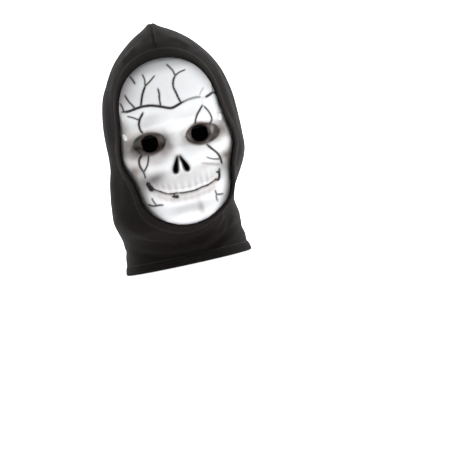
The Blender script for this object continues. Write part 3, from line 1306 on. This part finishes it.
tv, tf = [], []
offs = [-5.1, -2.5, 0, 2.5, 5.1]
grid_t = np.array([seam_strip(o, -FAB - 0.45) for o in offs])
grid_b = np.array([seam_strip(o, -FAB - 1.05) for o in offs])
tv = np.vstack([grid_t.reshape(-1, 3), grid_b.reshape(-1, 3)])
o2 = len(offs) * nn_
for a in range(len(offs) - 1):
    for k in range(nn_ - 1):
        tf.append([a * nn_ + k, a * nn_ + k + 1, (a + 1) * nn_ + k + 1, (a + 1) * nn_ + k])
        tf.append([o2 + (a + 1) * nn_ + k, o2 + (a + 1) * nn_ + k + 1, o2 + a * nn_ + k + 1, o2 + a * nn_ + k])
for k in range(nn_ - 1):
    tf.append([o2 + k, o2 + k + 1, k + 1, k])
    z1 = (len(offs) - 1) * nn_
    tf.append([z1 + k, z1 + k + 1, o2 + z1 + k + 1, o2 + z1 + k])
for k in (0, nn_ - 1):
    for a in range(len(offs) - 1):
        qd = [a * nn_ + k, (a + 1) * nn_ + k, o2 + (a + 1) * nn_ + k, o2 + a * nn_ + k]
        tf.append(qd if k == 0 else qd[::-1])
tape = new_mesh("seam_tape_inside", tv, tf, M_TAPE)
vis = slice(0, nn_)
seam_stitch = stitches("seam_stitches", [
    (seam_strip(-3.0, 2.4), sn, 2.2, 3.3, 0.27, 0.12),
    (seam_strip(3.0, 2.4), sn, 2.2, 3.3, 0.27, 0.12),
])

# ---------------------------------------------------------------------------
# elastic strap
# ---------------------------------------------------------------------------
SP = [(53.6, -70.5), (55.9, -66.4), (58.4, -61.7), (60.8, -56.2), (63.1, -50.0),
      (66.2, -40.0), (69.3, -25.0), (72.0, -5.0), (73.0, 18.0), (71.0, 42.0),
      (64.5, 66.0), (52.0, 86.0), (34.0, 99.0), (14.0, 104.5), (0.0, 105.4)]
line = open_spline(SP + [(-x, y) for x, y in reversed(SP[:-1])], 9)
seg = np.hypot(*np.diff(line, axis=0).T)
cum = np.concatenate([[0], np.cumsum(seg)])
ns = 300
q = np.linspace(0, cum[-1], ns)
lx, ly = np.interp(q, cum, line[:, 0]), np.interp(q, cum, line[:, 1])
tx, ty = np.gradient(lx), np.gradient(ly)
TL = np.hypot(tx, ty)
nx_, ny_ = ty / TL, -tx / TL
hs = np.array([-9.0, -8.6, -7.2, -4.8, -2.4, 0, 2.4, 4.8, 7.2, 8.6, 9.0])
th = np.array([0.25, 0.6, 0.72, 0.66, 0.74, 0.66, 0.74, 0.66, 0.72, 0.6, 0.25])
V = []
for sgn_ in (1, -1):
    for h, t_ in zip(hs, th):
        wav = 0.06 * np.sin(q * 2.4 + h)
        V.append(np.stack([lx + nx_ * sgn_ * (t_ + wav * sgn_), ly + ny_ * sgn_ * (t_ + wav * sgn_),
                           np.full(ns, 14.0 + h)], 1))
V = np.array(V)
nh = len(hs)
F = []
for a in range(nh - 1):
    for k in range(ns - 1):
        F.append([a * ns + k, (a + 1) * ns + k, (a + 1) * ns + k + 1, a * ns + k + 1])
        b = nh + a
        F.append([b * ns + k + 1, (b + 1) * ns + k + 1, (b + 1) * ns + k, b * ns + k])
for k in range(ns - 1):
    F.append([k + 1, nh * ns + k + 1, nh * ns + k, k])
    a = (nh - 1) * ns
    b = (2 * nh - 1) * ns
    F.append([a + k, b + k, b + k + 1, a + k + 1])
for k in (0, ns - 1):
    for a in range(nh - 1):
        qd = [a * ns + k, (a + 1) * ns + k, (nh + a + 1) * ns + k, (nh + a) * ns + k]
        F.append(qd if k else qd[::-1])
strap = new_mesh("elastic_strap_band", V.reshape(-1, 3), F, M_ELASTIC)

# ---------------------------------------------------------------------------
# brow pad: a crowned strip of foam behind the forehead
# ---------------------------------------------------------------------------
px = np.linspace(-1, 1, 61)
pz = np.linspace(-1, 1, 19)
PX, PZ = np.meshgrid(px, pz)
# square grid rounded to a pill
rr = (np.abs(PX) ** 8 + np.abs(PZ) ** 8) ** (1 / 8)
mx = np.maximum(np.abs(PX), np.abs(PZ))
k_ = np.where(rr > 0, mx / np.maximum(rr, 1e-9), 1)
bx, bz = PX * 38.4 * (0.55 + 0.45 * k_), 56 + PZ * 8.7 * k_
frontp = np.stack([bx, base_y(bx, bz) + SHELL_T + 0.5, bz], 2)
crown_h = 4.7 * (1 - np.clip(mx, 0, 1) ** 6) ** 0.5
backp = frontp + np.stack([0 * bx, crown_h + 0.15 + 0.2 * np.sin(bx / 3.1) * np.sin(bz / 2.3), 0 * bx], 2)
nzp, nxp = PX.shape
V = np.vstack([frontp.reshape(-1, 3), backp.reshape(-1, 3)])
F = []
for j in range(nzp - 1):
    for i in range(nxp - 1):
        a = j * nxp + i
        F.append([a, a + 1, a + 1 + nxp, a + nxp])
        o = nzp * nxp
        F.append([o + a + nxp, o + a + nxp + 1, o + a + 1, o + a])
grid_faces = [f for f in F if max(f) < nzp * nxp]
for a, b in boundary_edges(grid_faces):
    F.append([b, a, a + nzp * nxp, b + nzp * nxp])
pad = new_mesh("brow_pad_foam", V, F, M_FOAM)

# ---------------------------------------------------------------------------
# how the pieces move, what they stand for
# ---------------------------------------------------------------------------
for ob in (hood, band, band_stitch, tape, seam_stitch):
    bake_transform(ob)
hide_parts("hood_crown_right", "hood_crown_left", "hood_side_right", "hood_side_left", "neck_cowl")
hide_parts("opening_band_upper", "opening_band_lower")
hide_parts("crown_seam_tape", "nape_seam_tape")
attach(hem, "hood_base")
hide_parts("bottom_hem")
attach(hem_stitch, "hood_base")
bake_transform(strap)
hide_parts("elastic_strap")
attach(pad, "face_mask")
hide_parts("brow_pad")


# ---------------------------------------------------------------------------
# studio: pale floor that sweeps up into a backdrop, soft lights
# ---------------------------------------------------------------------------
def studio():
    n = Nodes("studio_white")
    f = n.noise(0.8, 2)
    col = n.ramp(f, [(0.3, (0.90, 0.90, 0.90)), (0.7, (0.93, 0.93, 0.93))])
    mat = n.done(col, n.range(f, 0.85, 0.95), None, Specular_IOR_Level=0.1,
                 Emission_Color=(1.0, 1.0, 1.0, 1.0), Emission_Strength=0.80)
    z0 = -0.1565
    prof = [(-9, z0), (1.4, z0)]
    for k in range(1, 13):
        a = k / 12 * math.pi / 2
        prof.append((1.4 + 1.2 * math.sin(a), z0 + 1.2 - 1.2 * math.cos(a)))
    prof.append((2.6, 4.5))
    V, F = [], []
    for y, z in prof:
        V += [(-6, y, z), (6, y, z)]
    for k in range(len(prof) - 1):
        F.append([2 * k, 2 * k + 1, 2 * k + 3, 2 * k + 2])
    me2 = bpy.data.meshes.new("studio_floor")
    me2.from_pydata(V, [], F)
    me2.polygons.foreach_set("use_smooth", np.ones(len(me2.polygons), bool))
    ob = bpy.data.objects.new("studio_floor", me2)
    bpy.context.scene.collection.objects.link(ob)
    me2.materials.append(mat)


studio()


def area(name, loc, aim, size, power, colour=(1, 1, 1)):
    d = bpy.data.lights.new(name, "AREA")
    d.shape = "RECTANGLE"
    d.size, d.size_y = size
    d.energy = power
    d.color = colour
    ob = bpy.data.objects.new(name, d)
    bpy.context.scene.collection.objects.link(ob)
    ob.location = loc
    ob.rotation_euler = (Vector(aim) - Vector(loc)).to_track_quat("-Z", "Y").to_euler()


area("key", (1.35, -2.1, 1.15), (0, 0, 0), (1.3, 1.3), 19)
area("fill", (-1.9, -1.9, 0.5), (0, 0, 0), (1.4, 1.8), 3.4)
area("top", (0.2, -0.3, 2.3), (0, 0, 0), (1.8, 1.4), 4.5)
area("rim", (1.9, 1.0, 0.7), (0, 0, 0), (0.8, 1.4), 13)
area("back_wash", (0, 0.3, 2.6), (0, 2.6, 0.6), (4.0, 1.2), 90)
world = bpy.data.worlds.new("studio_world")
bpy.context.scene.world = world
world.use_nodes = True
world.node_tree.nodes["Background"].inputs[0].default_value = (1, 1, 1, 1)
world.node_tree.nodes["Background"].inputs[1].default_value = 0.12
bpy.context.scene.view_settings.view_transform = "Standard"

bpy.context.view_layer.update()
